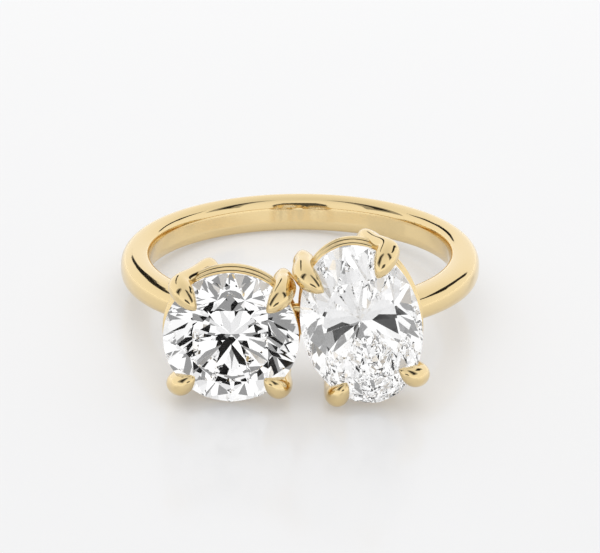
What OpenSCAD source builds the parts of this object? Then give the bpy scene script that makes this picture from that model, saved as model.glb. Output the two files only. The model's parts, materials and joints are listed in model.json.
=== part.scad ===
// Toi et moi ring: a tapered band with two four-claw baskets, one for a round stone
// and one for a leaning oval stone, lying on its side.
//
// The shapes are worked out in the ring's own frame: the finger goes along Z, the
// stones face -Y, and +X runs from the round stone to the oval one. laid_down()
// then turns that frame until the ring rests on a level surface.

/* [Band] */
// Inside diameter of the band, where the finger goes
finger_d = 16.5; // [14:0.1:21]
// Thickness of the band at the back, from the finger outwards
back_t = 1.4; // [1:0.05:2.2]
// Thickness of the band under the stones
front_t = 1.95; // [1.4:0.05:2.6]
// Width of the band at the back, along the finger
back_w = 2.15; // [1.6:0.05:3.5]
// Width of the band under the stones
front_w = 1.5; // [1.2:0.05:2.5]
// How late the band changes from back to front: 1 is even
taper_power = 1.37; // [0.6:0.01:3]

/* [Stones] */
// Diameter of the round stone
round_d = 6.9; // [5:0.1:8]
// Length of the oval stone
oval_l = 8.54; // [6:0.02:10]
// Width of the oval stone
oval_w = 6.1; // [4.5:0.1:7.5]
// How far the oval stone leans, its top towards the round stone
oval_lean = 12.4; // [0:0.1:25]
// How far along the finger the round stone's middle lies from the band's
round_up = 0; // [-0.6:0.05:0.6]
// How far along the finger the oval stone's middle lies from the band's
oval_up = 0.7; // [0:0.05:1.2]
// Slit between the widest points of the two stones
stone_slit = 0.04; // [0.02:0.01:0.6]
// Where the slit lies across the ring
slit_x = -0.03; // [-1:0.01:1]
// Height of the stones' widest line above the finger
girdle_rise = 3.67; // [3:0.01:5]

/* [Cut of the round stone] */
// Width of its flat table as a share of its own width
round_table = 0.595; // [0.5:0.005:0.7]
// Slope of the main facets above its widest line
round_crown = 39; // [30:0.5:42]
// Slope of the main facets below its widest line
round_pavilion = 41.4; // [39:0.1:46]
// Thickness of its widest line as a share of its width
round_girdle = 0.031; // [0.02:0.001:0.06]
// How far the star facets reach from the table to the widest line
round_star = 0.5; // [0.4:0.01:0.7]
// How far the lower halves reach from the widest line to the point below
round_lower = 0.805; // [0.7:0.005:0.9]

/* [Cut of the oval stone] */
// Width of its flat table as a share of its own width
oval_table = 0.67; // [0.5:0.005:0.7]
// Slope of the main facets above its widest line, across the stone
oval_crown = 41; // [30:0.5:42]
// Slope of the main facets below its widest line, across the stone
oval_pavilion = 44; // [39:0.1:46]
// Thickness of its widest line as a share of its width
oval_girdle = 0.048; // [0.02:0.001:0.06]
// How far the star facets reach from the table to the widest line
oval_star = 0.66; // [0.4:0.01:0.7]
// How far the lower halves reach from the widest line to the point below
oval_lower = 0.815; // [0.7:0.005:0.9]
// How far the facets of both are turned: at half a main facet, no main points across
cut_turn = 22.5; // [0:0.5:45]

/* [Baskets] */
// Width of a claw at its shoulder
claw_w = 1.17; // [0.8:0.01:1.4]
// How far a claw's tip reaches in over the stone
claw_reach = 0.95; // [0.5:0.01:1.2]
// How sharply a claw is ridged along its back: 0 is round
claw_ridge = 0.18; // [0:0.01:0.3]
// How far the middle of a claw's shaft lies outside the stone's edge
claw_out = 0.22; // [0.1:0.01:0.5]
// Where the round stone's claws stand, as an angle from across
round_claw_angle = 45; // [38:1:52]
// How far the round stone's claws are turned together
round_claw_turn = -2; // [-6:1:6]
// Where the oval stone's claws stand, as an angle from across
oval_claw_angle = 49; // [42:1:56]
// How far the oval stone's claws are turned together
oval_claw_turn = 2; // [-6:1:6]
// Height of the shafts' bends above the finger
bend_rise = 1.15; // [1.1:0.05:2.2]
// How far the shafts lean in towards the middle of the ring
shaft_lean = 11.5; // [0:0.5:16]
// How much a basket narrows towards the finger, for each millimetre of depth
basket_narrows = 0.08; // [0:0.005:0.1]
// Width of a shaft at its bend
shaft_w = 0.98; // [0.7:0.01:1.2]
// Width of a shaft's leg, down to the band
leg_w = 0.72; // [0.6:0.01:1]
// Height of the gallery rail, front to back
rail_h = 1.5; // [1:0.05:1.8]
// Thickness of the gallery rail
rail_t = 0.62; // [0.4:0.02:0.8]
// Width of the bridge that is soldered between the two rails
bridge_w = 0.46; // [0.3:0.02:0.8]
// Height of the bridge along the finger
bridge_up = 1.3; // [0.6:0.05:1.8]
// How far the rail stands out past the stone's edge
rail_proud = 0.08; // [0:0.01:0.2]
// Depth of the rail's front lip behind the stones' widest line
rail_depth = 0.13; // [0.1:0.01:0.4]
// Clearance between a stone and the gold round it
stone_gap = 0.06; // [0.03:0.01:0.12]

/* [Hidden] */
gold = [0.90, 0.80, 0.58];
diamond = [0.93, 0.94, 0.96];

BAND_STEPS = 64;
RAIL_STEPS = 40;
CLAW_SIDES = 12;
GIRDLE_STEPS = 3;
SPLINE_STEPS = 2;
TIP_R = 0.03;
SETTLE_ROUNDS = 4;
SQUARE_POWER = 3;

finger_r = finger_d / 2;
girdle_y = finger_r + girdle_rise;
X = 0;
Y = 1;
Z = 2;

// Vectors and smooth curves
function unit(v) = v / norm(v);
function mix(a, b, s) = a + (b - a) * s;
function turned(p, angle) = [
    p[0] * cos(angle) - p[1] * sin(angle),
    p[0] * sin(angle) + p[1] * cos(angle)
];
function between(a, b, c, d, s) =
    0.5 * (2 * b + (c - a) * s + (2 * a - 5 * b + 4 * c - d) * s * s
    + (3 * b - a - 3 * c + d) * s * s * s);
// A smooth curve through the rows of a table, with a few steps from row to row
function smooth(rows, steps = SPLINE_STEPS) = let (last = len(rows) - 1) [
    for (i = [0:last - 1], k = [0:steps - 1])
        between(rows[max(i - 1, 0)], rows[i], rows[i + 1], rows[min(i + 2, last)], k / steps),
    rows[last]
];

// Stones: a row holds middle across, middle along, width, length, lean, the angle and turn
// of the claws, and the cut: table, crown, pavilion, girdle, stars and lower halves
function stone_x(stone) = stone[0];
function stone_z(stone) = stone[1];
function stone_w(stone) = stone[2];
function stone_l(stone) = stone[3];
function stone_lean(stone) = stone[4];
function claw_angle(stone) = stone[5];
function claw_turn(stone) = stone[6];
function table_share(stone) = stone[7];
function crown_angle(stone) = stone[8];
function pavilion_angle(stone) = stone[9];
function girdle_share(stone) = stone[10];
function star_share(stone) = stone[11];
function lower_share(stone) = stone[12];
oval_half_x = norm([oval_l / 2 * sin(oval_lean), oval_w / 2 * cos(oval_lean)]);
ROUND = [
    slit_x - stone_slit / 2 - round_d / 2, round_up, round_d, round_d, 0,
    round_claw_angle, round_claw_turn,
    round_table, round_crown, round_pavilion, round_girdle, round_star, round_lower
];
OVAL = [
    slit_x + stone_slit / 2 + oval_half_x, oval_up, oval_w, oval_l, oval_lean,
    oval_claw_angle, oval_claw_turn,
    oval_table, oval_crown, oval_pavilion, oval_girdle, oval_star, oval_lower
];

// Heights above and below the widest line of a stone's cut at some width
function crown_h(stone, w) = w / 2 * (1 - table_share(stone)) * tan(crown_angle(stone));
function pavilion_h(stone, w) = w / 2 * tan(pavilion_angle(stone));
// From a stone's own plane (right, up) and a depth behind its widest line to the ring's frame
function placed(stone, p, depth) = let (q = turned(p, stone_lean(stone)))
    [stone_x(stone) + q[0], -girdle_y + depth, stone_z(stone) + q[1]];
// How far in towards the middle of the ring the shafts have leaned at some depth
function lean_in(stone, depth) = [-sign(stone_x(stone)) * depth * tan(shaft_lean), 0, 0];

// Band: a soft D section, listed from its top edge round the outside to the bottom. Each row
// of its eased inner edge holds how far out from the finger and how far along it, as shares
// of thickness and half width
EDGE_ROWS = [
    [0.00, 0.42],
    [0.04, 0.64],
    [0.09, 0.79],
    [0.17, 0.89],
    [0.30, 0.965]
];
DOME_START = 0.45;
DOME_POWER = 0.8;
DOME_STEPS = 8;
BORE_OVERLAP = 1.6;
function band_share(angle) = pow((1 - sin(angle)) / 2, taper_power);
function band_t(angle) = mix(back_t, front_t, band_share(angle));
function band_half(angle) = mix(back_w, front_w, band_share(angle)) / 2;
function dome(s, t, half) = [
    t * mix(DOME_START, 1, pow(sin(s), DOME_POWER)),
    half * sign(cos(s)) * pow(abs(cos(s)), DOME_POWER)
];
function edge(row, t, half) = [t * row[0], half * row[1]];
// The first row, carried on past the bore so that the finger hole cuts the edge cleanly
past_bore = mix(EDGE_ROWS[1], EDGE_ROWS[0], BORE_OVERLAP);
function band_section(t, half) = let (
    top = [
        edge(past_bore, t, half),
        for (i = [1:len(EDGE_ROWS) - 1]) edge(EDGE_ROWS[i], t, half)
    ]
) [
    each top,
    for (i = [0:DOME_STEPS]) dome(180 * i / DOME_STEPS, t, half),
    for (i = [len(top) - 1:-1:0]) [top[i][0], -top[i][1]]
];
function band_ring(angle) = [
    for (p = band_section(band_t(angle), band_half(angle)))
        [(finger_r + p[0]) * cos(angle), (finger_r + p[0]) * sin(angle), p[1]]
];
band_points = [for (i = [0:BAND_STEPS - 1]) each band_ring(360 * i / BAND_STEPS)];
BAND_SIDES = len(band_section(1, 1));

// Gallery rail: a lip and a round wire that follow the stone's outline behind its widest
// line. Each row holds how far out and how far back, as shares of thickness and height
RAIL_ROWS = [
    [0.45, 0.00],
    [0.76, 0.00],
    [0.80, 0.14],
    [0.60, 0.24],
    [0.93, 0.36],
    [1.00, 0.60],
    [0.90, 0.86],
    [0.58, 1.00],
    [0.20, 0.86],
    [0.04, 0.50]
];
RAIL_SIDES = len(RAIL_ROWS);
function rail_point(stone, angle, row) = let (
    out = rail_proud - rail_t * (1 - row[0]),
    a = stone_w(stone) / 2 + out,
    b = stone_l(stone) / 2 + out
) placed(stone, [a * cos(angle), b * sin(angle)], rail_depth + rail_h * row[1]);
function rail_points(stone) = [
    for (i = [0:RAIL_STEPS - 1], row = RAIL_ROWS) rail_point(stone, 360 * i / RAIL_STEPS, row)
];

// Bridge between the rails, most of it on the round stone's side of the slit
BRIDGE_L = 1.0;
BRIDGE_LEFT = 0.62;
BRIDGE_DEPTH = 0.9;

// Claws: each row holds reach in over the stone, rise to the tip and thickness, as shares
CLAW_ROWS = [
    [1.00, 1.00, 0.04],
    [0.84, 1.00, 0.34],
    [0.55, 0.95, 0.64],
    [0.22, 0.74, 0.88],
    [-0.08, 0.38, 1.00],
    [-0.26, -0.35, 1.00]
];
HOOKED = len(CLAW_ROWS) - 1;
SHAFT_MIDDLE = 0.45;
CORNER = 0.72;
ARC_MIDDLE = 0.29;
LEG_MIDDLE = 0.6;
FOOT_PAST = 0.1;
FOOT_FOLLOW = 0.2;
FOOT_APART = 0.4;
CLAW_SIGNS = [[1, 1], [-1, 1], [-1, -1], [1, -1]];
function claw_at(stone, side) =
    side[0] * side[1] * claw_angle(stone) + (side[0] < 0 ? 180 : 0) + claw_turn(stone);
function claw_edge(stone, side) = let (at = claw_at(stone, side))
    [stone_w(stone) / 2 * cos(at), stone_l(stone) / 2 * sin(at)];
function claw_out_way(stone, side) = let (at = claw_at(stone, side)) [cos(at), sin(at)];
// Height of the crown's main facets, and of the clearance over them, where a claw's tip lies
function tip_rise(stone, side) = let (
    w = stone_w(stone),
    inside = claw_reach / norm(claw_edge(stone, side)),
    main = crown_h(stone, w) * inside / (1 - table_share(stone))
) girdle_share(stone) * w / 2 + main + stone_gap * tan(crown_angle(stone)) + TIP_R;
function hook_row(stone, side, row) = let (
    at = claw_edge(stone, side) + (-row[0] * claw_reach * claw_out_way(stone, side)),
    p = placed(stone, at, -row[1] * tip_rise(stone, side))
) [each p, max(row[2] * claw_w / 2, TIP_R)];
function shaft_at(stone, side, depth) = let (
    edge_at = claw_edge(stone, side) + claw_out * claw_out_way(stone, side)
) placed(stone, [edge_at[0] * (1 - basket_narrows * depth), edge_at[1]], depth) + lean_in(stone, depth);
// Depth at which a shaft that starts from p is down to the height of the bends
function bend_depth(p) = let (r = finger_r + bend_rise) girdle_y - sqrt(r * r - p[X] * p[X]);
function bend_at(stone, side) = let (
    first = bend_depth(shaft_at(stone, side, girdle_rise - bend_rise)),
    second = bend_depth(shaft_at(stone, side, first))
) shaft_at(stone, side, second);
// A leg ends inside the band, just past its middle and further from the slit
function foot_at(stone, side) = let (
    x = bend_at(stone, side)[X] + sign(stone_x(stone)) * FOOT_APART,
    r = finger_r + front_t / 2
) [x, -sqrt(r * r - x * x), FOOT_FOLLOW * stone_z(stone) - side[1] * FOOT_PAST * front_w];
function claw_rows(stone, side) = let (
    start = shaft_at(stone, side, 0),
    bend = bend_at(stone, side),
    foot = foot_at(stone, side),
    leg = unit(foot - bend),
    back = unit(bend - start)
) [
    for (row = CLAW_ROWS) hook_row(stone, side, row),
    [each mix(start, bend, SHAFT_MIDDLE), (claw_w + shaft_w) / 4],
    [each (bend - CORNER * back), shaft_w / 2],
    [each (bend + CORNER * ARC_MIDDLE * (leg - back)), shaft_w / 2],
    [each (bend + CORNER * leg), shaft_w / 2],
    [each mix(bend, foot, LEG_MIDDLE), leg_w / 2],
    [each foot, leg_w / 2]
];
// Sections: a claw is ridged along its back, and a shaft is round-cornered square
function ridged(turn) = let (off = turn - 90)
    1 - claw_ridge * (cos(off) > 0 ? pow(sin(2 * off), 2) : 0);
function squared(turn) = pow(
    pow(abs(cos(turn)), SQUARE_POWER) + pow(abs(sin(turn)), SQUARE_POWER), -1 / SQUARE_POWER
);
function section(turn, s) = mix(ridged(turn), squared(turn), s);
// One ring of points square to the curve, with its sides kept in line with a claw's width
function sweep_ring(rows, i, across, sides) = let (
    before = rows[max(i - 1, 0)],
    after = rows[min(i + 1, len(rows) - 1)],
    way = unit([for (k = [X:Z]) after[k] - before[k]]),
    side = unit(across - (across * way) * way),
    up = cross(way, side),
    middle = [for (k = [X:Z]) rows[i][k]],
    squareness = min(max(i / (SPLINE_STEPS * HOOKED) - 0.5, 0), 1)
) [for (k = [0:sides - 1]) let (turn = 360 * k / sides)
    middle + rows[i][3] * section(turn, squareness) * (cos(turn) * side + sin(turn) * up)];
function claw_points(stone, side) = let (
    rows = smooth(claw_rows(stone, side)),
    out_way = turned(claw_out_way(stone, side), stone_lean(stone)),
    across = [-out_way[1], 0, out_way[0]]
) [for (i = [0:len(rows) - 1]) each sweep_ring(rows, i, across, CLAW_SIDES)];

// Sides of a sweep, ring by ring, as pairs of triangles
function quad(a, b, c, d) = [[d, c, b], [d, b, a]];
function sleeve(rings, sides, closed) = [
    for (i = [0:rings - (closed ? 1 : 2)], k = [0:sides - 1])
        let (j = (i + 1) % rings, m = (k + 1) % sides)
            each quad(i * sides + k, i * sides + m, j * sides + m, j * sides + k)
];
module loop_sweep(points, sides) {
    polyhedron(points, sleeve(len(points) / sides, sides, true));
}
module open_sweep(points, sides) {
    rings = len(points) / sides;
    near_end = [for (k = [0:sides - 1]) k];
    far_end = [for (k = [sides - 1:-1:0]) (rings - 1) * sides + k];
    polyhedron(points, [near_end, each sleeve(rings, sides, false), far_end]);
}

// Brilliant cut: eight mains above and below, with halves and stars, on an outline of short edges
MAINS = 8;
STEP = 360 / MAINS;
half_turn = STEP / 2;
RIM = MAINS * 2 * GIRDLE_STEPS;
function polar(r, angle, z) = [r * cos(angle + cut_turn), r * sin(angle + cut_turn), z];
// Height at a point of the flat facet through three others
function facet_z(a, b, c, p) = let (n = cross(b - a, c - a))
    a[Z] - (n[X] * (p[X] - a[X]) + n[Y] * (p[Y] - a[Y])) / n[Z];
// One rim point: on the flat halves facet whose inner corner has radius r and height z
function rim_point(j, r, z, edge_z) = let (
    k = floor(j / (2 * GIRDLE_STEPS)),
    second = j % (2 * GIRDLE_STEPS) > GIRDLE_STEPS ? 1 : 0,
    from = polar(1, k * STEP + second * half_turn, edge_z),
    to = polar(1, k * STEP + (second + 1) * half_turn, edge_z),
    p = polar(1, 360 * j / RIM, edge_z)
) [p[X], p[Y], facet_z(polar(r, k * STEP + half_turn, z), from, to, p)];
module brilliant(stone, grown) {
    w = stone_w(stone) + 2 * grown;
    l = stone_l(stone) + 2 * grown;
    table_r = table_share(stone);
    star_r = mix(table_r * cos(half_turn), 1, star_share(stone));
    lower_r = 1 - lower_share(stone);
    g = girdle_share(stone) * w / 2;
    top = g + crown_h(stone, w);
    low = -g - pavilion_h(stone, w);
    star_z = g + crown_h(stone, w) * (1 - star_r * cos(half_turn)) / (1 - table_r);
    lower_z = -g - pavilion_h(stone, w) * (1 - lower_r * cos(half_turn));
    unit_points = [
        for (j = [0:RIM - 1]) rim_point(j, star_r, star_z, g),
        for (j = [0:RIM - 1]) rim_point(j, lower_r, lower_z, -g),
        for (k = [0:MAINS - 1]) polar(table_r, k * STEP, top),
        for (k = [0:MAINS - 1]) polar(star_r, (k + 0.5) * STEP, star_z),
        for (k = [0:MAINS - 1]) polar(lower_r, (k + 0.5) * STEP, lower_z),
        [0, 0, low]
    ];
    points = [for (p = unit_points) [p[X] * w / 2, p[Y] * l / 2, p[Z]]];
    table = 2 * RIM;
    star = table + MAINS;
    lower = star + MAINS;
    culet = lower + MAINS;
    span = 2 * GIRDLE_STEPS;
    faces = [
        [for (k = [MAINS - 1:-1:0]) table + k],
        for (k = [0:MAINS - 1]) let (next = (k + 1) % MAINS, last = (k + MAINS - 1) % MAINS) each [
            [table + k, table + next, star + k],
            [table + k, star + k, k * span, star + last],
            [culet, lower + last, RIM + k * span, lower + k],
            for (half = [0:1]) each [
                [star + k, for (i = [GIRDLE_STEPS:-1:0]) (k * span + half * GIRDLE_STEPS + i) % RIM],
                [lower + k, for (i = [0:GIRDLE_STEPS]) RIM + (k * span + half * GIRDLE_STEPS + i) % RIM]
            ]
        ],
        for (j = [0:RIM - 1]) let (m = (j + 1) % RIM) [j, m, RIM + m, RIM + j]
    ];
    polyhedron(points, faces);
}
// A stone in its basket, or the seat for it when it is grown by a clearance
module set_stone(stone, grown) {
    translate([stone_x(stone), -girdle_y, stone_z(stone)])
        rotate([90, 0, 0])
            rotate([0, 0, stone_lean(stone)])
                brilliant(stone, grown);
}

// How the ring lies: the level surface under it touches the lowest part of each basket, be it
// a claw or the rail, and the lower edge of the band's back
function lowest(points) = let (level = min([for (p = points) p[Z]]) + claw_w / 2)
    [for (p = points) if (p[Z] < level) p];
function below(stone) = lowest([
    each rail_points(stone),
    for (side = CLAW_SIGNS) if (side[1] < 0) each claw_points(stone, side)
]);
round_low = below(ROUND);
oval_low = below(OVAL);
front_low = concat(round_low, oval_low);
back_low = [for (p = band_points) if (p[Y] > finger_r && p[Z] < 0) p];
// Slope along k of the line that touches two groups of points from below, once the surface's
// slope along the other way is taken off
function touching(near, far, k, other, by) = max([for (a = near) min([for (b = far)
    (b[Z] - a[Z] - by * (b[other] - a[other])) / (b[k] - a[k])])]);
function resting(slope_y, rounds = SETTLE_ROUNDS) = let (
    slope_x = touching(round_low, oval_low, X, Y, slope_y),
    next_y = touching(front_low, back_low, Y, X, slope_x)
) rounds == 0 ? [slope_x, next_y] : resting(next_y, rounds - 1);
rest = resting(0);
roll = atan(rest[X]);
tip = atan(rest[Y] * cos(roll));
function rolled(p) = [p[X] * cos(roll) + p[Z] * sin(roll), p[Y], p[Z] * cos(roll) - p[X] * sin(roll)];
function tipped(p) = [p[X], p[Y] * cos(tip) + p[Z] * sin(tip), p[Z] * cos(tip) - p[Y] * sin(tip)];
function table_edge(stone) = let (
    w = stone_w(stone),
    h = girdle_share(stone) * w / 2 + crown_h(stone, w)
) [
    for (k = [0:MAINS - 1]) let (
        corner = polar(table_share(stone), k * STEP, h),
        p = turned([corner[X] * w / 2, corner[Y] * stone_l(stone) / 2], stone_lean(stone))
    ) [stone_x(stone) + p[0], -girdle_y - h, stone_z(stone) + p[1]]
];
claws = [for (stone = [ROUND, OVAL], side = CLAW_SIGNS) each claw_points(stone, side)];
lying = [
    for (p = concat(band_points, claws, table_edge(ROUND), table_edge(OVAL))) tipped(rolled(p))
];
middle_y = (max([for (p = lying) p[Y]]) + min([for (p = lying) p[Y]])) / 2;
bottom_z = min([for (p = concat(front_low, back_low)) tipped(rolled(p))[Z]]);
module laid_down() {
    translate([0, -middle_y, -bottom_z]) rotate([-tip, 0, 0]) rotate([0, roll, 0]) children();
}

module band() {
    loop_sweep(band_points, BAND_SIDES);
}
module basket(stone) {
    loop_sweep(rail_points(stone), RAIL_SIDES);
    for (side = CLAW_SIGNS) open_sweep(claw_points(stone, side), CLAW_SIDES);
}
// A short round bar across the gap between the rails
module bridge() {
    translate([slit_x - BRIDGE_L * BRIDGE_LEFT, -girdle_y + BRIDGE_DEPTH, bridge_up])
        rotate([0, 90, 0]) cylinder(h = BRIDGE_L, d = bridge_w, $fn = 24);
}
module finger_hole() {
    cylinder(h = 4 * finger_r, r = finger_r, center = true, $fn = 180);
}

module gold_mount() {
    color(gold) laid_down() difference() {
        union() {
            band();
            basket(ROUND);
            basket(OVAL);
            bridge();
        }
        finger_hole();
        set_stone(ROUND, stone_gap);
        set_stone(OVAL, stone_gap);
    }
}
module round_stone() {
    color(diamond) laid_down() set_stone(ROUND, 0);
}
module oval_stone() {
    color(diamond) laid_down() set_stone(OVAL, 0);
}

gold_mount();
round_stone();
oval_stone();
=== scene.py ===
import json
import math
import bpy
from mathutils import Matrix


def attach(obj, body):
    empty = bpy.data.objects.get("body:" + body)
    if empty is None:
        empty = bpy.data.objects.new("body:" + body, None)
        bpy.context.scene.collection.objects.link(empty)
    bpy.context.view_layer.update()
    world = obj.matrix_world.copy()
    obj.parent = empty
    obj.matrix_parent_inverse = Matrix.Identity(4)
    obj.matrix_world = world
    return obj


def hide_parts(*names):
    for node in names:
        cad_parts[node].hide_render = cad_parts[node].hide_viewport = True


bl_info = {
    "name": "Toi et moi ring",
    "version": (1, 0, 0),
    "blender": (4, 5, 0),
    "location": "3D View > Sidebar > Ring",
    "description": "Polished gold mount, round and oval cut stones and a white studio",
    "category": "Object",
}

import bpy
import numpy as np
from bpy.props import FloatProperty, FloatVectorProperty, IntProperty, PointerProperty
from mathutils import Matrix, Vector

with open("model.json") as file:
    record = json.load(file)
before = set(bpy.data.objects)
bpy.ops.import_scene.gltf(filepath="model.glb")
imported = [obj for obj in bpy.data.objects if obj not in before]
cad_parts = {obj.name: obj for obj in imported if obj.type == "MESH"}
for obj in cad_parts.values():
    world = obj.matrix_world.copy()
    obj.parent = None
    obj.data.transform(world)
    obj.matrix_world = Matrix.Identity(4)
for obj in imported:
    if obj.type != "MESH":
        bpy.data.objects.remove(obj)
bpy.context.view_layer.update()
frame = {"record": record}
BORE = next(m for m in frame["record"]["mounts"] if m["name"] == "finger_bore")

MM = 0.001
FULL_TURN = 2 * math.pi


def length(name, description, default, lowest=0.0):
    """A length, written here in millimetres and kept in metres."""
    return FloatProperty(name=name, description=description, default=default * MM,
                         min=lowest * MM, precision=5, unit="LENGTH")


def share(name, description, default):
    """A share or a strength."""
    return FloatProperty(name=name, description=description, default=default, min=0.0, max=2.0)


def angle(name, description, default):
    """An angle, written here in degrees and kept in radians."""
    return FloatProperty(name=name, description=description, default=math.radians(default),
                         unit="ROTATION")


def colour(name, description, default):
    return FloatVectorProperty(name=name, description=description, default=default, size=3,
                               min=0.0, max=1.0, subtype="COLOR")


class RingBandSizes(bpy.types.PropertyGroup):
    """Sizes of the band."""

    finger_d: length("Finger hole", "Inside diameter of the band", 16.5)
    back_t: length("Back thickness", "Thickness of the band at the back", 1.4)
    front_t: length("Front thickness", "Thickness of the band under the stones", 1.95)
    back_w: length("Back width", "Width of the band at the back", 2.15)
    front_w: length("Front width", "Width of the band under the stones", 1.5)
    taper_power: share("Taper", "How late the band changes from back to front", 1.37)
    steps: IntProperty(name="Steps", description="Sections round the band", default=240, min=24)


class RingStoneSizes(bpy.types.PropertyGroup):
    """Sizes, places and cut of the two stones."""

    round_d: length("Round stone", "Diameter of the round stone", 6.9)
    oval_l: length("Oval length", "Length of the oval stone", 8.54)
    oval_w: length("Oval width", "Width of the oval stone", 6.1)
    oval_lean: angle("Oval lean", "How far the oval leans towards the round stone", 12.4)
    oval_up: length("Oval rise", "How far along the finger the oval's middle lies", 0.7)
    slit: length("Slit", "Slit between the stones' widest points", 0.04)
    slit_x: length("Slit place", "Where the slit lies across the ring", -0.03, lowest=-1.0)
    girdle_rise: length("Girdle height", "Height of the widest line above the finger", 3.67)
    round_table: share("Round table", "Width of the round stone's table as a share", 0.595)
    round_crown: angle("Round crown", "Slope of its main facets above the girdle", 39.0)
    round_pavilion: angle("Round pavilion", "Slope of its main facets below the girdle", 41.4)
    round_girdle: share("Round girdle", "Thickness of its girdle as a share of the width", 0.031)
    round_star: share("Round stars", "How far its star facets reach to the girdle", 0.5)
    round_lower: share("Round halves", "How far its lower halves reach to the culet", 0.805)
    oval_table: share("Oval table", "Width of the oval stone's table as a share", 0.67)
    oval_crown: angle("Oval crown", "Slope of its main facets above the girdle, across", 41.0)
    oval_pavilion: angle("Oval pavilion", "Slope of its main facets below the girdle, across", 44.0)
    oval_girdle: share("Oval girdle", "Thickness of its girdle as a share of the width", 0.048)
    oval_star: share("Oval stars", "How far its star facets reach to the girdle", 0.66)
    oval_lower: share("Oval halves", "How far its lower halves reach to the culet", 0.815)
    cut_turn: angle("Cut turn", "How far the facets are turned round each stone", 22.5)


class RingBasketSizes(bpy.types.PropertyGroup):
    """Sizes of the claws, shafts, gallery rails and bridge."""

    claw_w: length("Claw width", "Width of a claw at its shoulder", 1.17)
    claw_reach: length("Claw reach", "How far a claw's tip reaches over the stone", 0.95)
    claw_out: length("Claw offset", "How far a shaft lies outside the stone's edge", 0.22)
    round_claws: angle("Round claws", "Where the round stone's claws stand", 45.0)
    round_turn: angle("Round turn", "How far the round stone's claws are turned", -2.0)
    oval_claws: angle("Oval claws", "Where the oval stone's claws stand", 49.0)
    oval_turn: angle("Oval turn", "How far the oval stone's claws are turned", 2.0)
    bend_rise: length("Bend height", "Height of the shafts' bends above the finger", 1.15)
    lean: angle("Lean", "How far the shafts lean in to the middle", 11.5)
    narrows: share("Narrowing", "How much a basket narrows per millimetre of depth", 0.08)
    shaft_w: length("Shaft width", "Width of a shaft at its bend", 0.98)
    leg_w: length("Leg width", "Width of a shaft's leg down to the band", 0.72)
    rail_h: length("Rail height", "Height of the gallery rail, front to back", 1.5)
    rail_t: length("Rail thickness", "Thickness of the gallery rail", 0.62)
    rail_proud: length("Rail overhang", "How far the rail stands past the stone's edge", 0.08)
    rail_depth: length("Rail depth", "Depth of the rail's lip behind the girdle", 0.13)
    stone_gap: length("Stone clearance", "Clearance between a stone and the gold", 0.06)
    ridge: share("Claw ridge", "How sharply a claw is ridged along its back", 0.05)
    bridge_w: length("Bridge width", "Width of the bridge soldered between the rails", 0.46)
    bridge_up: length("Bridge height", "Height of the bridge along the finger", 1.3)


class RingFinish(bpy.types.PropertyGroup):
    """Colours and polish."""

    gold: colour("Gold", "Colour of the polished gold", (0.81, 0.635, 0.345))
    polish: share("Polish", "Roughness of the polished gold", 0.07)
    marks: share("Polishing marks", "Strength of the fine marks that polishing leaves", 0.35)
    stone: colour("Stone", "Tint of the stones", (1.0, 1.0, 1.0))
    stone_ior: FloatProperty(name="Stone index", description="Refractive index of the stones",
                             default=2.417, min=1.0, max=4.0)
    round_sheen: share("Round sheen", "How much the round stone mirrors outside", 0.03)
    oval_sheen: share("Oval sheen", "How much the oval stone mirrors outside", 0.35)


class RingStudio(bpy.types.PropertyGroup):
    """Camera, floor and light."""

    camera_back: length("Camera distance", "How far the camera stands in front of the ring", 128.7)
    camera_up: length("Camera height", "How far the camera stands along the finger", 44.3)
    camera_pitch: angle("Camera pitch", "How far the camera looks down along the finger", 19.35)
    lens: FloatProperty(name="Lens", description="Focal length of the camera", default=147.72,
                        unit="CAMERA")
    floor: colour("Floor", "Colour of the floor", (0.56, 0.56, 0.565))
    floor_glow: share("Floor glow", "Light that comes up through the floor", 0.3)
    light: share("Light", "Strength of the white studio", 1.0)


def settings():
    return bpy.context.scene.ring


# Vectors and smooth curves, in millimetres and in the ring's own frame: the finger goes
# along Z, the stones face -Y, and +X runs from the round stone to the oval one.
def unit(v):
    return v / np.linalg.norm(v)


def mix(a, b, s):
    return a + (b - a) * s


def turned(p, turn):
    """A flat point, turned round the middle."""
    c, s = math.cos(turn), math.sin(turn)
    return np.array([p[0] * c - p[1] * s, p[0] * s + p[1] * c])


def smooth(rows, steps, closed=False):
    """A smooth curve through rows of numbers, with a few steps from row to row."""
    rows = np.asarray(rows, float)
    n = len(rows)
    out = []
    for i in range(n if closed else n - 1):
        near = range(i - 1, i + 3)
        a, b, c, d = (rows[k % n if closed else min(max(k, 0), n - 1)] for k in near)
        for k in range(steps):
            s = k / steps
            out.append(0.5 * (2 * b + (c - a) * s + (2 * a - 5 * b + 4 * c - d) * s * s
                              + (3 * b - a - 3 * c + d) * s ** 3))
    if not closed:
        out.append(rows[-1])
    return np.array(out)


class Cut:
    """Proportions of a stone's facets."""

    def __init__(self, table, crown, pavilion, girdle, star, lower):
        self.table, self.crown, self.pavilion = table, crown, pavilion
        self.girdle, self.star, self.lower = girdle, star, lower

    def crown_h(self, w):
        """Height of the crown on a stone of this width."""
        return w / 2 * (1 - self.table) * math.tan(self.crown)


class Stone:
    """Place, outline, lean, claws and cut of a stone."""

    def __init__(self, x, z, w, l, lean, claws, turn, cut):
        self.x, self.z, self.w, self.l, self.lean = x, z, w, l, lean
        self.claws, self.turn, self.cut = claws, turn, cut

    def placed(self, p, depth):
        """From the stone's own plane and a depth behind its girdle to the ring's frame."""
        q = turned(p, self.lean)
        return np.array([self.x + q[0], depth - girdle_y(), self.z + q[1]])

    def lean_in(self, depth):
        """How far in towards the middle the shafts have leaned at a depth."""
        return np.array([-math.copysign(depth, self.x) * math.tan(settings().basket.lean), 0, 0])

    def edge(self, way_out):
        """The point of the stone's edge that a way out from its middle leads to."""
        return way_out * [self.w / 2, self.l / 2]


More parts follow.
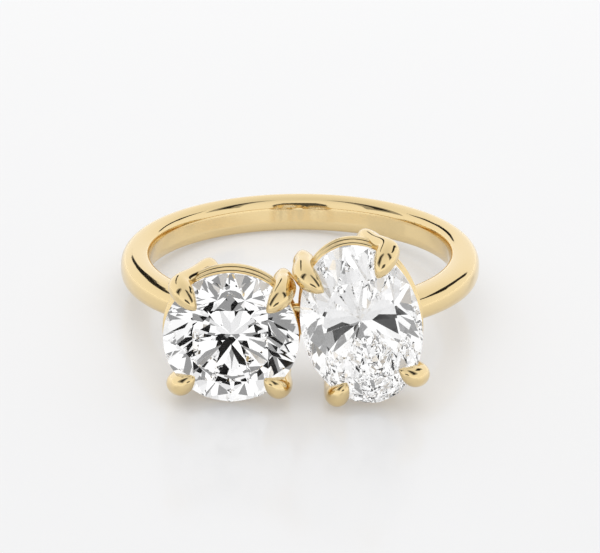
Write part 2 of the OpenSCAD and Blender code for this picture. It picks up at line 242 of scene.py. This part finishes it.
def finger_r():
    return settings().band.finger_d / MM / 2


def girdle_y():
    """How far the girdles lie in front of the finger's axis."""
    return finger_r() + settings().stones.girdle_rise / MM


def stone_pair():
    """The round stone on the left of the slit and the leaning oval one on its right."""
    s, b = settings().stones, settings().basket
    d, w, l = s.round_d / MM, s.oval_w / MM, s.oval_l / MM
    oval_half = math.hypot(l / 2 * math.sin(s.oval_lean), w / 2 * math.cos(s.oval_lean))
    slit, slit_x = s.slit / MM, s.slit_x / MM
    round_cut = Cut(s.round_table, s.round_crown, s.round_pavilion, s.round_girdle,
                    s.round_star, s.round_lower)
    oval_cut = Cut(s.oval_table, s.oval_crown, s.oval_pavilion, s.oval_girdle,
                   s.oval_star, s.oval_lower)
    return (
        Stone(slit_x - slit / 2 - d / 2, 0.0, d, d, 0.0, b.round_claws, b.round_turn, round_cut),
        Stone(slit_x + slit / 2 + oval_half, s.oval_up / MM, w, l, s.oval_lean, b.oval_claws,
              b.oval_turn, oval_cut),
    )


def ring_pose():
    """From the ring's own frame to the surface that it rests on, in metres."""
    x, y, z = BORE["axis"]
    roll, tip = math.asin(x), math.atan2(y, z)
    return (Matrix.Translation(Vector(BORE["pos_m"])) @ Matrix.Rotation(-tip, 4, "X")
            @ Matrix.Rotation(roll, 4, "Y"))


# Meshes
def build(name, points, faces):
    """A mesh object from points and faces."""
    mesh = bpy.data.meshes.new(name)
    mesh.from_pydata([tuple(p) for p in points], [], [tuple(f) for f in faces])
    mesh.update()
    piece = bpy.data.objects.new(name, mesh)
    bpy.context.scene.collection.objects.link(piece)
    return piece


def sleeve(rings, sides, closed):
    """Faces of a skin over rings of points, with the last ring joined to the first if closed."""
    faces = []
    for i in range(rings if closed else rings - 1):
        j = (i + 1) % rings
        for k in range(sides):
            m = (k + 1) % sides
            faces.append((j * sides + k, j * sides + m, i * sides + m, i * sides + k))
    return faces


def capped_sleeve(rings, sides):
    """Faces of an open skin and of its two ends."""
    last = (rings - 1) * sides
    ends = [tuple(range(sides)), tuple(last + k for k in reversed(range(sides)))]
    return sleeve(rings, sides, False) + ends


def combine(piece, other, operation):
    """Joins other to piece, or cuts it out, and removes it."""
    fuse = piece.modifiers.new(operation, "BOOLEAN")
    fuse.operation = operation
    fuse.solver = "MANIFOLD"
    fuse.object = other
    bpy.context.view_layer.update()
    shown = piece.evaluated_get(bpy.context.evaluated_depsgraph_get())
    mesh = bpy.data.meshes.new_from_object(shown)
    if len(mesh.polygons) == 0:
        raise RuntimeError(f"{operation} left {piece.name} empty")
    piece.modifiers.clear()
    spent = piece.data, other.data
    piece.data = mesh
    bpy.data.objects.remove(other)
    for used in spent:
        bpy.data.meshes.remove(used)


def settle(piece, sharp=None):
    """Puts a piece that was made in millimetres in its place on the floor, in metres. It gets
    smooth faces where an angle for its sharp edges is given, and flat ones if not."""
    piece.data.transform(ring_pose() @ Matrix.Scale(MM, 4))
    polygons = piece.data.polygons
    polygons.foreach_set("use_smooth", [sharp is not None] * len(polygons))
    if sharp is not None:
        piece.data.set_sharp_from_angle(angle=sharp)
    piece.data.update()


def dress(piece, node, material):
    """Gives a piece its material, hides the node of the solid model that it stands for and hangs it
    under the root body.
    """
    piece.data.materials.clear()
    piece.data.materials.append(material)
    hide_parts(node)
    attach(piece, "root")


# Band: each row of its eased inner edge holds how far out from the finger and how far along it,
# as shares of thickness and half width
EDGE_ROWS = [(0.45, 1.0), (0.30, 0.965), (0.17, 0.89), (0.09, 0.79), (0.04, 0.64), (0.0, 0.42)]
EDGE_STEPS = 4
DOME_POWER = 0.8
DOME_STEPS = 40
BORE_STEPS = 6


def band_section(t, half):
    """The soft D section, from the top of the bore round the outside and back."""
    top = [[t * out, half * along] for out, along in smooth(EDGE_ROWS, EDGE_STEPS)[:0:-1]]
    outside = []
    for s in np.radians(np.linspace(0, 180, DOME_STEPS + 1)):
        across, along = max(math.sin(s), 0.0), math.cos(s)
        outside.append([t * mix(EDGE_ROWS[0][0], 1, across ** DOME_POWER),
                        half * math.copysign(abs(along) ** DOME_POWER, along)])
    bottom = [[x, -z] for x, z in reversed(top)]
    last = bottom[-1][1]
    bore = [[0.0, last * (1 - 2 * k / BORE_STEPS)] for k in range(1, BORE_STEPS)]
    return np.array(top + outside + bottom + bore)


def band_shape():
    """The band: its section goes once round the finger and grows towards the stones."""
    b = settings().band
    rings = []
    for i in range(b.steps):
        turn = FULL_TURN * i / b.steps
        s = ((1 - math.sin(turn)) / 2) ** b.taper_power
        thickness, width = mix(b.back_t, b.front_t, s) / MM, mix(b.back_w, b.front_w, s) / MM
        section = band_section(thickness, width / 2)
        r = finger_r() + section[:, 0]
        rings.append(np.c_[r * math.cos(turn), r * math.sin(turn), section[:, 1]])
    return np.concatenate(rings), sleeve(b.steps, len(rings[0]), True)


# Gallery rail, with two fine steps: each row holds how far out and how far back, as shares of
# thickness and height
RAIL_ROWS = [
    (0.45, 0.00), (0.72, 0.00), (0.78, 0.06), (0.74, 0.22), (0.66, 0.32), (0.88, 0.36),
    (0.90, 0.44), (0.85, 0.56), (0.76, 0.63), (0.98, 0.67), (1.00, 0.80), (0.88, 0.94),
    (0.55, 1.00), (0.20, 0.86), (0.04, 0.50),
]
RAIL_ROW_STEPS = 4
RAIL_STEPS = 200


def rail_shape(stone):
    """The gallery rail that goes round behind a stone's edge."""
    b = settings().basket
    proud, t, h, depth = b.rail_proud / MM, b.rail_t / MM, b.rail_h / MM, b.rail_depth / MM
    section = smooth(RAIL_ROWS, RAIL_ROW_STEPS, closed=True)
    points = []
    for i in range(RAIL_STEPS):
        turn = FULL_TURN * i / RAIL_STEPS
        for out, back in section:
            reach = proud - t * (1 - out)
            p = [(stone.w / 2 + reach) * math.cos(turn), (stone.l / 2 + reach) * math.sin(turn)]
            points.append(stone.placed(p, depth + h * back))
    return np.array(points), sleeve(RAIL_STEPS, len(section), True)


# Claws: each row of the hook over the stone holds reach in, rise to the tip and thickness, as
# shares. The ridge starts to fade out at a share of the hook's length.
CLAW_ROWS = [
    (1.00, 1.00, 0.04), (0.84, 1.00, 0.34), (0.55, 0.95, 0.64),
    (0.22, 0.74, 0.88), (-0.08, 0.38, 1.00), (-0.26, -0.35, 1.00),
]
CLAW_SIDES = 32
CLAW_STEPS = 7
TIP_R = 0.03
RIDGE_FADE = 0.5
SQUARE_POWER = 3.0
# Where each claw of a stone stands: right or left, and above or below
CLAW_PLACES = [(1, 1), (-1, 1), (-1, -1), (1, -1)]
# Shafts: their middle as a share of the way to the bend, how far from its corner the bend's arc
# starts, the arc's middle as a share of that, and the leg's as a share of the way to the foot
SHAFT_MIDDLE = 0.45
CORNER = 0.72
ARC_MIDDLE = 0.29
LEG_MIDDLE = 0.6
BEND_TRIES = 2
# Feet: how far past the band's middle, as a share of its width, how far they follow the stone
# along the finger, as a share, and how far out from the bend
FOOT_PAST = 0.1
FOOT_FOLLOW = 0.2
FOOT_APART = 0.4


def claw_way(stone, side):
    """The way out from the stone's middle to a claw, in the stone's own plane."""
    at = side[0] * side[1] * stone.claws + (math.pi if side[0] < 0 else 0) + stone.turn
    return np.array([math.cos(at), math.sin(at)])


def hook_rows(stone, way_out):
    """A claw's hook, from its tip to its shoulder: each row holds a point and a half width."""
    b, cut, rim = settings().basket, stone.cut, stone.edge(way_out)
    reach, claw_w = b.claw_reach / MM, b.claw_w / MM
    inside = reach / np.linalg.norm(rim)
    rise = (cut.girdle * stone.w / 2 + cut.crown_h(stone.w) * inside / (1 - cut.table)
            + b.stone_gap / MM * math.tan(cut.crown) + TIP_R)
    rows = []
    for far, up, thick in CLAW_ROWS:
        p = stone.placed(rim - far * reach * way_out, -up * rise)
        rows.append([*p, max(thick * claw_w / 2, TIP_R)])
    return rows


def shaft_at(stone, way_out, depth):
    """The middle of a shaft at a depth behind the girdle."""
    b = settings().basket
    edge = stone.edge(way_out) + b.claw_out / MM * way_out
    return stone.placed([edge[0] * (1 - b.narrows * depth), edge[1]], depth) + stone.lean_in(depth)


def shaft_bend(stone, way_out):
    """Where a shaft meets the circle of bends round the finger, found in a few tries."""
    rise = settings().basket.bend_rise / MM
    r = finger_r() + rise
    bend = shaft_at(stone, way_out, settings().stones.girdle_rise / MM - rise)
    for _ in range(BEND_TRIES):
        bend = shaft_at(stone, way_out, girdle_y() - math.sqrt(r * r - bend[0] * bend[0]))
    return bend


def shaft_rows(stone, side, way_out):
    """A shaft, its bend and its leg down to a foot inside the band, in rows like the hook's."""
    b, band = settings().basket, settings().band
    claw_w, shaft_w, leg_w = b.claw_w / MM, b.shaft_w / MM, b.leg_w / MM
    start, bend = shaft_at(stone, way_out, 0.0), shaft_bend(stone, way_out)
    r = finger_r() + band.front_t / MM / 2
    foot_x = bend[0] + math.copysign(FOOT_APART, stone.x)
    foot = np.array([foot_x, -math.sqrt(r * r - foot_x ** 2),
                     FOOT_FOLLOW * stone.z - side[1] * FOOT_PAST * band.front_w / MM])
    leg, back = unit(foot - bend), unit(bend - start)
    return [
        [*mix(start, bend, SHAFT_MIDDLE), (claw_w + shaft_w) / 4],
        [*(bend - CORNER * back), shaft_w / 2],
        [*(bend + CORNER * ARC_MIDDLE * (leg - back)), shaft_w / 2],
        [*(bend + CORNER * leg), shaft_w / 2],
        [*mix(bend, foot, LEG_MIDDLE), leg_w / 2],
        [*foot, leg_w / 2],
    ]


def claw_shape(stone, side):
    """A claw with its shaft: the hook is ridged along its back, the shaft is a soft square."""
    way_out = claw_way(stone, side)
    rows = smooth(hook_rows(stone, way_out) + shaft_rows(stone, side, way_out), CLAW_STEPS)
    leaned = turned(way_out, stone.lean)
    across = np.array([-leaned[1], 0.0, leaned[0]])
    turns = FULL_TURN * np.arange(CLAW_SIDES) / CLAW_SIDES
    off = turns - math.pi / 2
    ridge = settings().basket.ridge
    ridged = 1 - ridge * np.where(np.cos(off) > 0, np.sin(2 * off) ** 2, 0.0)
    squared = (abs(np.cos(turns)) ** SQUARE_POWER
               + abs(np.sin(turns)) ** SQUARE_POWER) ** (-1 / SQUARE_POWER)
    hooked = CLAW_STEPS * (len(CLAW_ROWS) - 1)
    points = []
    for i, row in enumerate(rows):
        before, after = rows[max(i - 1, 0)][:3], rows[min(i + 1, len(rows) - 1)][:3]
        way = unit(after - before)
        right = unit(across - (across @ way) * way)
        up = np.cross(way, right)
        r = row[3] * mix(ridged, squared, min(max(i / hooked - RIDGE_FADE, 0.0), 1.0))
        for k, turn in enumerate(turns):
            points.append(row[:3] + r[k] * (math.cos(turn) * right + math.sin(turn) * up))
    return np.array(points), capped_sleeve(len(rows), CLAW_SIDES)


# Bridge between the rails, most of it on the round stone's side of the slit
BRIDGE_L = 1.0
BRIDGE_LEFT = 0.62
BRIDGE_DEPTH = 0.9
BRIDGE_SIDES = 36


def bridge_shape():
    """The small round bridge that joins the two rails."""
    b = settings().basket
    start = settings().stones.slit_x / MM - BRIDGE_L * BRIDGE_LEFT
    points = []
    for x in (start, start + BRIDGE_L):
        for turn in np.radians(360 * np.arange(BRIDGE_SIDES) / BRIDGE_SIDES):
            points.append((x, BRIDGE_DEPTH - girdle_y() + b.bridge_w / MM / 2 * math.cos(turn),
                           (b.bridge_up + b.bridge_w / 2 * math.sin(turn)) / MM))
    return points, capped_sleeve(2, BRIDGE_SIDES)


# Stones: eight mains above and below, with halves and stars. The rim is the girdle's edge.
MAINS = 8
STEP = FULL_TURN / MAINS
HALF_STEP = STEP / 2
HALF_POINTS = 5
MAIN_POINTS = 2 * HALF_POINTS
RIM_POINTS = MAINS * MAIN_POINTS


def polar(r, turn, z):
    """A point of a cut whose edge lies one from its middle, before it takes a stone's size."""
    turn += settings().stones.cut_turn
    return np.array([r * math.cos(turn), r * math.sin(turn), z])


def facet_z(a, b, c, p):
    """Height at p of the facet through three points."""
    n = np.cross(b - a, c - a)
    return a[2] - (n[0] * (p[0] - a[0]) + n[1] * (p[1] - a[1])) / n[2]


def rim_points(r, z, edge_z):
    """The rim where the halves cut it. Each pair of halves meets at a radius and a height."""
    points = []
    for j in range(RIM_POINTS):
        main, along = divmod(j, MAIN_POINTS)
        half = 1 if along > HALF_POINTS else 0
        a = polar(r, main * STEP + HALF_STEP, z)
        b = polar(1, main * STEP + half * HALF_STEP, edge_z)
        c = polar(1, main * STEP + (half + 1) * HALF_STEP, edge_z)
        p = polar(1, FULL_TURN * j / RIM_POINTS, edge_z)
        points.append(np.array([p[0], p[1], facet_z(a, b, c, p)]))
    return points


def cut_points(cut, w, l):
    """Both rims, then the corners of the table, the stars and the lower halves, and the culet."""
    g = cut.girdle * w / 2
    rise, fall = cut.crown_h(w), w / 2 * math.tan(cut.pavilion)
    star_r = mix(cut.table * math.cos(HALF_STEP), 1, cut.star)
    lower_r = 1 - cut.lower
    star_z = g + rise * (1 - star_r * math.cos(HALF_STEP)) / (1 - cut.table)
    lower_z = -g - fall * (1 - lower_r * math.cos(HALF_STEP))
    points = rim_points(star_r, star_z, g) + rim_points(lower_r, lower_z, -g)
    points += [polar(cut.table, k * STEP, g + rise) for k in range(MAINS)]
    points += [polar(star_r, (k + 0.5) * STEP, star_z) for k in range(MAINS)]
    points += [polar(lower_r, (k + 0.5) * STEP, lower_z) for k in range(MAINS)]
    points.append(np.array([0, 0, -g - fall]))
    return np.array(points) * [w / 2, l / 2, 1]


def cut_faces():
    """Table, stars, mains and halves, and the girdle between the rims."""
    table, star, lower, culet = (2 * RIM_POINTS + k * MAINS for k in range(4))
    faces = [tuple(table + k for k in range(MAINS))]
    for k in range(MAINS):
        after, before = (k + 1) % MAINS, (k - 1) % MAINS
        faces.append((star + k, table + after, table + k))
        faces.append((star + before, k * MAIN_POINTS, star + k, table + k))
        faces.append((lower + k, RIM_POINTS + k * MAIN_POINTS, lower + before, culet))
        for half in (0, 1):
            base = k * MAIN_POINTS + half * HALF_POINTS
            edge = [(base + i) % RIM_POINTS for i in range(HALF_POINTS + 1)]
            faces.append((*edge, star + k))
            faces.append((*(RIM_POINTS + e for e in reversed(edge)), lower + k))
    for j in range(RIM_POINTS):
        m = (j + 1) % RIM_POINTS
        faces.append((RIM_POINTS + j, RIM_POINTS + m, m, j))
    return faces


def brilliant(stone, grown=0.0):
    """A cut stone in its basket, or the seat for it when it is grown by a clearance."""
    points = cut_points(stone.cut, stone.w + 2 * grown, stone.l + 2 * grown)
    return np.array([stone.placed(p[:2], -p[2]) for p in points]), cut_faces()


# Materials
def new_material(name):
    """A material with one shader in it."""
    material = bpy.data.materials.new(name)
    material.use_nodes = True
    nodes = material.node_tree.nodes
    nodes.clear()
    out = nodes.new("ShaderNodeOutputMaterial")
    shader = nodes.new("ShaderNodeBsdfPrincipled")
    material.node_tree.links.new(shader.outputs["BSDF"], out.inputs["Surface"])
    return material, shader


def worked_out(tree, operation, *sources, clamp=False):
    """The result of a math node that takes in some sockets."""
    node = tree.nodes.new("ShaderNodeMath")
    node.operation = operation
    node.use_clamp = clamp
    for source, socket in zip(sources, node.inputs):
        tree.links.new(source, socket)
    return node.outputs[0]


def noise(tree, place, scale, detail):
    """The result of a noise texture."""
    node = tree.nodes.new("ShaderNodeTexNoise")
    node.inputs["Scale"].default_value = scale
    node.inputs["Detail"].default_value = detail
    tree.links.new(place, node.inputs["Vector"])
    return node.outputs["Fac"]


# Polishing marks: how often they come in a metre, their detail, how many times finer the
# hairlines are upwards than along the band, and their share of the height
WAVE_SCALE = 900.0
WAVE_DETAIL = 2.0
LINE_SCALE = 1400.0
LINE_DETAIL = 3.0
LINE_SQUEEZE = 26.0
LINE_SHARE = 0.3
# The middle part of the noise, which is spread to -1 to 1 for the roughness
NOISE_LOW = 0.3
NOISE_HIGH = 0.7
MARK_BUMP = 0.05
MARK_DEPTH = 0.02 * MM
# Faces of the gold that meet at more than this keep a sharp edge
GOLD_SHARP = math.radians(40)


def polishing_marks():
    """Node group: the faint waves and hairlines that a polishing wheel leaves."""
    name = "Polishing marks"
    if name in bpy.data.node_groups:
        return bpy.data.node_groups[name]
    group = bpy.data.node_groups.new(name, "ShaderNodeTree")
    for label, way in (("Strength", "INPUT"), ("Roughness", "INPUT"),
                       ("Roughness", "OUTPUT"), ("Height", "OUTPUT")):
        group.interface.new_socket(label, in_out=way, socket_type="NodeSocketFloat")
    nodes, links = group.nodes, group.links
    given = nodes.new("NodeGroupInput").outputs
    out = nodes.new("NodeGroupOutput").inputs
    place = nodes.new("ShaderNodeTexCoord").outputs["Object"]
    waves = noise(group, place, WAVE_SCALE, WAVE_DETAIL)
    squeeze = nodes.new("ShaderNodeMapping")
    squeeze.inputs["Scale"].default_value = (1.0, 1.0, LINE_SQUEEZE)
    links.new(place, squeeze.inputs["Vector"])
    lines = noise(group, squeeze.outputs[0], LINE_SCALE, LINE_DETAIL)
    height = nodes.new("ShaderNodeMix")
    height.inputs["Factor"].default_value = LINE_SHARE
    links.new(waves, height.inputs["A"])
    links.new(lines, height.inputs["B"])
    spread = nodes.new("ShaderNodeMapRange")
    for label, value in (("From Min", NOISE_LOW), ("From Max", NOISE_HIGH),
                         ("To Min", -1.0), ("To Max", 1.0)):
        spread.inputs[label].default_value = value
    links.new(lines, spread.inputs["Value"])
    amount = worked_out(group, "MULTIPLY", spread.outputs[0], given["Strength"])
    roughness = given["Roughness"]
    links.new(worked_out(group, "MULTIPLY_ADD", amount, roughness, roughness), out["Roughness"])
    tall = worked_out(group, "MULTIPLY", height.outputs["Result"], given["Strength"])
    links.new(tall, out["Height"])
    return group


def gold_material():
    """Polished gold, with fine marks in its roughness and its surface."""
    finish = settings().finish
    material, shader = new_material("polished_yellow_gold")
    nodes, links = material.node_tree.nodes, material.node_tree.links
    shader.inputs["Base Color"].default_value = (*finish.gold, 1.0)
    shader.inputs["Metallic"].default_value = 1.0
    marks = nodes.new("ShaderNodeGroup")
    marks.node_tree = polishing_marks()
    marks.inputs["Strength"].default_value = finish.marks
    marks.inputs["Roughness"].default_value = finish.polish
    bump = nodes.new("ShaderNodeBump")
    bump.inputs["Strength"].default_value = MARK_BUMP
    bump.inputs["Distance"].default_value = MARK_DEPTH
    links.new(marks.outputs["Roughness"], shader.inputs["Roughness"])
    links.new(marks.outputs["Height"], bump.inputs["Height"])
    links.new(bump.outputs["Normal"], shader.inputs["Normal"])
    return material


def stone_material(name, sheen):
    """Clear stone. Its sheen is how much its outside mirrors."""
    finish = settings().finish
    material, shader = new_material(name)
    shader.inputs["Base Color"].default_value = (*finish.stone, 1.0)
    shader.inputs["Roughness"].default_value = 0.0
    shader.inputs["IOR"].default_value = finish.stone_ior
    shader.inputs["Transmission Weight"].default_value = 1.0
    shader.inputs["Specular Tint"].default_value = (sheen, sheen, sheen, 1.0)
    return material


FLOOR_ROUGHNESS = 0.16
FLOOR_IOR = 1.4


def floor_material():
    """Pale floor that mirrors the ring a little and glows softly."""
    studio = settings().studio
    material, shader = new_material("pale_studio_floor")
    shader.inputs["Base Color"].default_value = (*studio.floor, 1.0)
    shader.inputs["Emission Color"].default_value = (1.0, 1.0, 1.0, 1.0)
    shader.inputs["Emission Strength"].default_value = studio.floor_glow
    shader.inputs["Roughness"].default_value = FLOOR_ROUGHNESS
    shader.inputs["IOR"].default_value = FLOOR_IOR
    return material


def card_material(name, level):
    """One even brightness."""
    material = bpy.data.materials.new(name)
    material.use_nodes = True
    nodes = material.node_tree.nodes
    nodes.clear()
    out, glow = nodes.new("ShaderNodeOutputMaterial"), nodes.new("ShaderNodeEmission")
    glow.inputs["Color"].default_value = (level, level, level, 1.0)
    material.node_tree.links.new(glow.outputs[0], out.inputs["Surface"])
    return material


# Studio: brightness of the surrounding white by the height of the direction, as it is seen and
# mirrored and as it lights the floor
WORLD_LEVELS = [(0.0, 1.12), (0.35, 1.10), (0.75, 1.0), (1.0, 0.88)]
OVERHEAD_LEVELS = [(0.0, 0.3), (0.45, 0.6), (0.75, 1.15), (1.0, 1.6)]
# Sockets of a mix node that blends colours
MIX_FIRST = 6
MIX_SECOND = 7
MIX_RESULT = 2
LIGHT_BOUNCES = 32
# Floor, cards and the camera's range in metres, its sensor in millimetres
FLOOR_REACH = 1.5
CLIP_START = 0.005
CLIP_END = 10.0
SENSOR_W = 36.0
CARD_DISTANCE = 0.6
GREY_DISTANCE = 1.1 * CARD_DISTANCE
# Cards that are mirrored but don't show through the stones: brightness, and corners as degrees
# round from the camera's side and degrees up
CARDS = [
    ("camera_stand", 0.1, [(-22, 8), (20, 8), (22, 20), (14, 29), (-14, 29), (-22, 20)]),
    ("dark_flag_right", 0.02, [
        (104, 47), (113, 42), (122, 41), (134, 37), (141, 31), (143, 27), (143, 19),
        (140, 14), (135, 14), (133, 22), (124, 28), (117, 27), (110, 33), (102, 40),
    ]),
    ("dark_flag_left", 0.02, [
        (-122, 36), (-134, 33), (-144, 29), (-152, 26), (-158, 21),
        (-161, 18), (-163, 14), (-168, 14), (-169, 20), (-164, 26),
        (-160, 28), (-156, 31), (-153, 34), (-140, 38), (-123, 41),
    ]),
    ("claw_flag_right", 0.02, [(59, 27), (73, 27), (76, 54), (74, 70), (60, 70), (58, 52)]),
    ("claw_flag_left", 0.02, [(-64, 20), (-80, 20), (-82, 46), (-82, 64), (-68, 64), (-66, 44)]),
]
# Softer grey cards behind the claws' flags, so that the dark fades at its edges
GREYS = [
    ("grey_right", 0.4, [(50, 22), (82, 22), (86, 52), (86, 76), (42, 76), (49, 50)]),
    ("grey_left", 0.4, [(-54, 14), (-89, 12), (-92, 46), (-92, 72), (-52, 72), (-54, 44)]),
]
# Rounds that show only through the stones: brightness, degrees round, degrees up and half width
ROUNDS = [
    (0.01, 8, 22, 22), (0.3, -22, 54, 18), (0.3, -40, 10, 16),
    (0.3, 40, 5, 16), (0.3, -172, 8, 14), (0.3, 42, 46, 10),
]
ROUND_SIDES = 30


def grey_ramp(tree, height, levels):
    """The result of a ramp from height to brightness."""
    node = tree.nodes.new("ShaderNodeValToRGB")
    steps = node.color_ramp.elements
    steps.remove(steps[1])
    for place, level in levels:
        steps.new(place).color = (level, level, level, 1.0)
    steps.remove(steps[0])
    tree.links.new(height, node.inputs["Fac"])
    return node.outputs["Color"]


def studio_world(strength):
    """White all round. The floor is lit from overhead, and what the gold and the stones show
    is a little brighter low down."""
    world = bpy.data.worlds.new("white_studio")
    world.use_nodes = True
    tree = world.node_tree
    glow = tree.nodes["Background"]
    glow.inputs["Strength"].default_value = strength
    place = tree.nodes.new("ShaderNodeTexCoord")
    split = tree.nodes.new("ShaderNodeSeparateXYZ")
    tree.links.new(place.outputs["Generated"], split.inputs[0])
    blend = tree.nodes.new("ShaderNodeMix")
    blend.data_type = "RGBA"
    for levels, socket in ((OVERHEAD_LEVELS, MIX_FIRST), (WORLD_LEVELS, MIX_SECOND)):
        tree.links.new(grey_ramp(tree, split.outputs["Z"], levels), blend.inputs[socket])
    ray = tree.nodes.new("ShaderNodeLightPath").outputs
    bounced = worked_out(tree, "ADD", ray["Is Glossy Ray"], ray["Is Transmission Ray"], clamp=True)
    seen = worked_out(tree, "ADD", bounced, ray["Is Camera Ray"], clamp=True)
    tree.links.new(seen, blend.inputs["Factor"])
    tree.links.new(blend.outputs[MIX_RESULT], glow.inputs["Color"])
    return world


def towards(turn, rise):
    """The direction some way round from the camera's side and some way up."""
    return Vector((math.cos(rise) * math.sin(turn), -math.cos(rise) * math.cos(turn),
                   math.sin(rise)))


def round_card(turn, rise, half):
    """Points of a round that faces the ring, seen from there under twice its half width."""
    aim = towards(turn, rise)
    side = aim.cross(Vector((0, 0, 1))).normalized()
    up = side.cross(aim)
    points = []
    for a in np.radians(360 * np.arange(ROUND_SIDES) / ROUND_SIDES):
        out = math.cos(a) * side + math.sin(a) * up
        points.append(CARD_DISTANCE * (math.cos(half) * aim + math.sin(half) * out))
    return points


def studio_card(name, level, points):
    """A card that the camera doesn't see and that casts no shadow."""
    card = build(name, points, [tuple(range(len(points)))])
    card.data.materials.append(card_material(name, level))
    card.visible_camera = card.visible_diffuse = card.visible_shadow = False
    return card


def studio_cards():
    """Cards round the ring: polygons of directions for the gold, rounds for the stones."""
    for cards, distance in ((CARDS, CARD_DISTANCE), (GREYS, GREY_DISTANCE)):
        for name, level, corners in cards:
            points = [distance * towards(*corner) for corner in np.radians(corners)]
            studio_card(name, level, points).visible_transmission = False
    for level, *place in ROUNDS:
        studio_card("dark_round", level, round_card(*np.radians(place))).visible_glossy = False


def studio_floor():
    """A wide floor that the ring lies on."""
    reach = FLOOR_REACH
    corners = [(-reach, -reach, 0), (reach, -reach, 0), (reach, reach, 0), (-reach, reach, 0)]
    floor = build("floor", corners, [(0, 1, 2, 3)])
    floor.data.materials.append(floor_material())


def studio_camera():
    """The photograph's camera. It looks down along the finger at the ring's front."""
    studio = settings().studio
    camera = bpy.data.objects.new("camera", bpy.data.cameras.new("camera"))
    camera.data.lens = studio.lens
    camera.data.sensor_width = SENSOR_W
    camera.data.clip_start = CLIP_START
    camera.data.clip_end = CLIP_END
    place = Matrix.Translation((0, -studio.camera_back, studio.camera_up))
    look = Matrix.Rotation(math.pi / 2 - studio.camera_pitch, 4, "X")
    camera.matrix_world = ring_pose() @ place @ look
    bpy.context.scene.collection.objects.link(camera)
    return camera


# Operators
class RING_OT_mount(bpy.types.Operator):
    """Make the polished gold mount: band, gallery rails, claws and bridge in one piece"""

    bl_idname = "ring.mount"
    bl_label = "Gold mount"

    def execute(self, context):
        gap = settings().basket.stone_gap / MM
        mount = build("mount", *band_shape())
        for stone in stone_pair():
            combine(mount, build("rail", *rail_shape(stone)), "UNION")
            for side in CLAW_PLACES:
                combine(mount, build("claw", *claw_shape(stone, side)), "UNION")
        combine(mount, build("bridge", *bridge_shape()), "UNION")
        for stone in stone_pair():
            combine(mount, build("seat", *brilliant(stone, gap)), "DIFFERENCE")
        mount.name = "gold_ring_mount"
        settle(mount, GOLD_SHARP)
        dress(mount, "gold_mount", gold_material())
        # The stones show the studio, not their own claws and rails
        mount.visible_transmission = False
        return {"FINISHED"}


class RING_OT_stones(bpy.types.Operator):
    """Make the round and the oval cut stone"""

    bl_idname = "ring.stones"
    bl_label = "Cut stones"

    def execute(self, context):
        finish = settings().finish
        sheens = finish.round_sheen, finish.oval_sheen
        for stone, shape, sheen in zip(stone_pair(), ("round", "oval"), sheens):
            piece = build(shape + "_brilliant", *brilliant(stone))
            settle(piece)
            material = stone_material(shape + "_clear_stone", sheen)
            dress(piece, shape + "_stone", material)
        return {"FINISHED"}


class RING_OT_studio(bpy.types.Operator):
    """Make the floor, the white studio light and the camera"""

    bl_idname = "ring.studio"
    bl_label = "Studio"

    def execute(self, context):
        scene = context.scene
        scene.view_settings.view_transform = "Standard"
        light = scene.cycles
        light.max_bounces = light.glossy_bounces = light.transmission_bounces = LIGHT_BOUNCES
        studio_floor()
        scene.world = studio_world(settings().studio.light)
        studio_cards()
        scene.camera = studio_camera()
        return {"FINISHED"}


class RingSettings(bpy.types.PropertyGroup):
    """All that the panel shows."""

    band: PointerProperty(name="Band", type=RingBandSizes)
    stones: PointerProperty(name="Stones", type=RingStoneSizes)
    basket: PointerProperty(name="Baskets", type=RingBasketSizes)
    finish: PointerProperty(name="Finish", type=RingFinish)
    studio: PointerProperty(name="Studio", type=RingStudio)


class RING_PT_panel(bpy.types.Panel):
    """Sizes, colours and buttons of the ring"""

    bl_idname = "RING_PT_panel"
    bl_label = "Toi et moi ring"
    bl_space_type = "VIEW_3D"
    bl_region_type = "UI"
    bl_category = "Ring"

    def draw(self, context):
        ring = context.scene.ring
        for title, group in (("Band", ring.band), ("Stones", ring.stones),
                             ("Baskets", ring.basket), ("Finish", ring.finish),
                             ("Studio", ring.studio)):
            box = self.layout.box()
            box.label(text=title)
            for name in group.__annotations__:
                box.prop(group, name)
        for operator in OPERATORS:
            self.layout.operator(operator.bl_idname)


OPERATORS = (RING_OT_mount, RING_OT_stones, RING_OT_studio)
CLASSES = (RingBandSizes, RingStoneSizes, RingBasketSizes, RingFinish, RingStudio,
           RingSettings, *OPERATORS, RING_PT_panel)


def register():
    for cls in CLASSES:
        bpy.utils.register_class(cls)
    bpy.types.Scene.ring = PointerProperty(name="Ring", type=RingSettings)


def unregister():
    del bpy.types.Scene.ring
    for cls in reversed(CLASSES):
        bpy.utils.unregister_class(cls)


def main():
    register()
    bpy.ops.ring.mount()
    bpy.ops.ring.stones()
    bpy.ops.ring.studio()
    bpy.context.view_layer.update()


if __name__ == "__main__":
    main()
